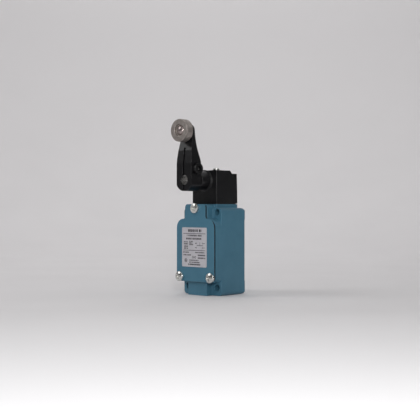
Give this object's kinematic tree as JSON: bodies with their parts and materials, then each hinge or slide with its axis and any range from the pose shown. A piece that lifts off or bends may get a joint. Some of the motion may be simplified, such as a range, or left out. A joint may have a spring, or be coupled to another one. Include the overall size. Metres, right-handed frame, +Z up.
{
  "type": "roller-lever limit switch",
  "caption": "Heavy-duty limit switch: die-cast body with screwed front cover, turning head, clamped lever with a steel roller, plunger and snap-action contacts inside.",
  "frame": {"origin": "centre of the conduit port where it opens on the bottom face", "axes": "+Z up along the body to the roller, -Y towards the cover and lever side, +X to the right seen from the front"},
  "size_m": [0.0404, 0.0554, 0.1369],
  "materials": {
    "blue_paint": "semi-gloss die-cast paint",
    "black_paint": "satin die-cast paint",
    "black_bolt": "black oxide",
    "zinc_screw": "bright zinc plate",
    "shaft_steel": "turned",
    "roller_steel": "sintered",
    "pin_steel": "turned, dull",
    "spring_steel": "drawn wire",
    "label_aluminium": "satin with dark print",
    "black_rubber": "matte",
    "bronze": "sintered bronze",
    "terminal_brass": "bright",
    "contact_silver": "polished",
    "plunger_plastic": "satin",
    "phenolic": "moulded"
  },
  "bodies": {
    "housing": {"housing": "blue_paint", "cover": "blue_paint", "cover_gasket": "black_rubber", "cover_screws": "zinc_screw", "nameplate": "label_aluminium", "head": "black_paint", "head_gasket": "black_rubber", "head_screws": "zinc_screw", "front_bushing": "bronze", "rear_bushing": "bronze", "shaft_seal": "black_rubber", "plunger_wiper": "black_rubber", "return_spring": "spring_steel", "spring_seat": "shaft_steel", "switch_base": "phenolic", "switch_lid": "phenolic", "contact_spring": "spring_steel", "fixed_contacts": "contact_silver", "nc_terminal_left": "terminal_brass", "nc_terminal_right": "terminal_brass", "no_terminal_left": "terminal_brass", "no_terminal_right": "terminal_brass", "terminal_screws": "zinc_screw", "terminal_washers": "zinc_screw", "switch_screws": "zinc_screw", "ground_screw": "zinc_screw", "ground_washer": "terminal_brass"},
    "lever_arm": {"shaft": "shaft_steel", "cam": "roller_steel", "cam_pin": "shaft_steel", "shaft_clip": "spring_steel", "lever": "black_paint", "clamp_bolt": "black_bolt", "roller_pin": "pin_steel", "roller_spacer": "shaft_steel"},
    "roller": {"roller": "roller_steel"},
    "plunger": {"plunger": "plunger_plastic"},
    "switch_button": {"switch_button": "plunger_plastic"},
    "contact_bridge": {"contact_bridge": "terminal_brass", "moving_contacts": "contact_silver"}
  },
  "joints": [
    {"name": "lever_swing", "type": "hinge", "parent": "housing", "child": "lever_arm", "pos_m": [0, -0.024, 0.0902], "axis": [0, 1, 0], "range_deg": [-75, 75], "stiffness_Nm_per_rad": 0.3},
    {"name": "roller_spin", "type": "hinge", "parent": "lever_arm", "child": "roller", "pos_m": [0, -0.0322, 0.1282], "axis": [0, 1, 0], "continuous": true},
    {"name": "plunger_slide", "type": "slide", "parent": "housing", "child": "plunger", "axis": [0, 0, -1], "range_m": [0, 0.0025], "stiffness_N_per_m": 3000, "deforming": ["return_spring"]},
    {"name": "button_slide", "type": "slide", "parent": "housing", "child": "switch_button", "axis": [0, 0, -1], "range_m": [0, 0.0025]},
    {"name": "contact_slide", "type": "slide", "parent": "housing", "child": "contact_bridge", "axis": [0, 0, -1], "range_m": [0, 0.001], "deforming": ["contact_spring"]}
  ],
  "couplings": [
    {"joint": "button_slide", "follows": "plunger_slide", "ratio": 1},
    {"joint": "contact_slide", "follows": "plunger_slide", "ratio": 0.4}
  ]
}
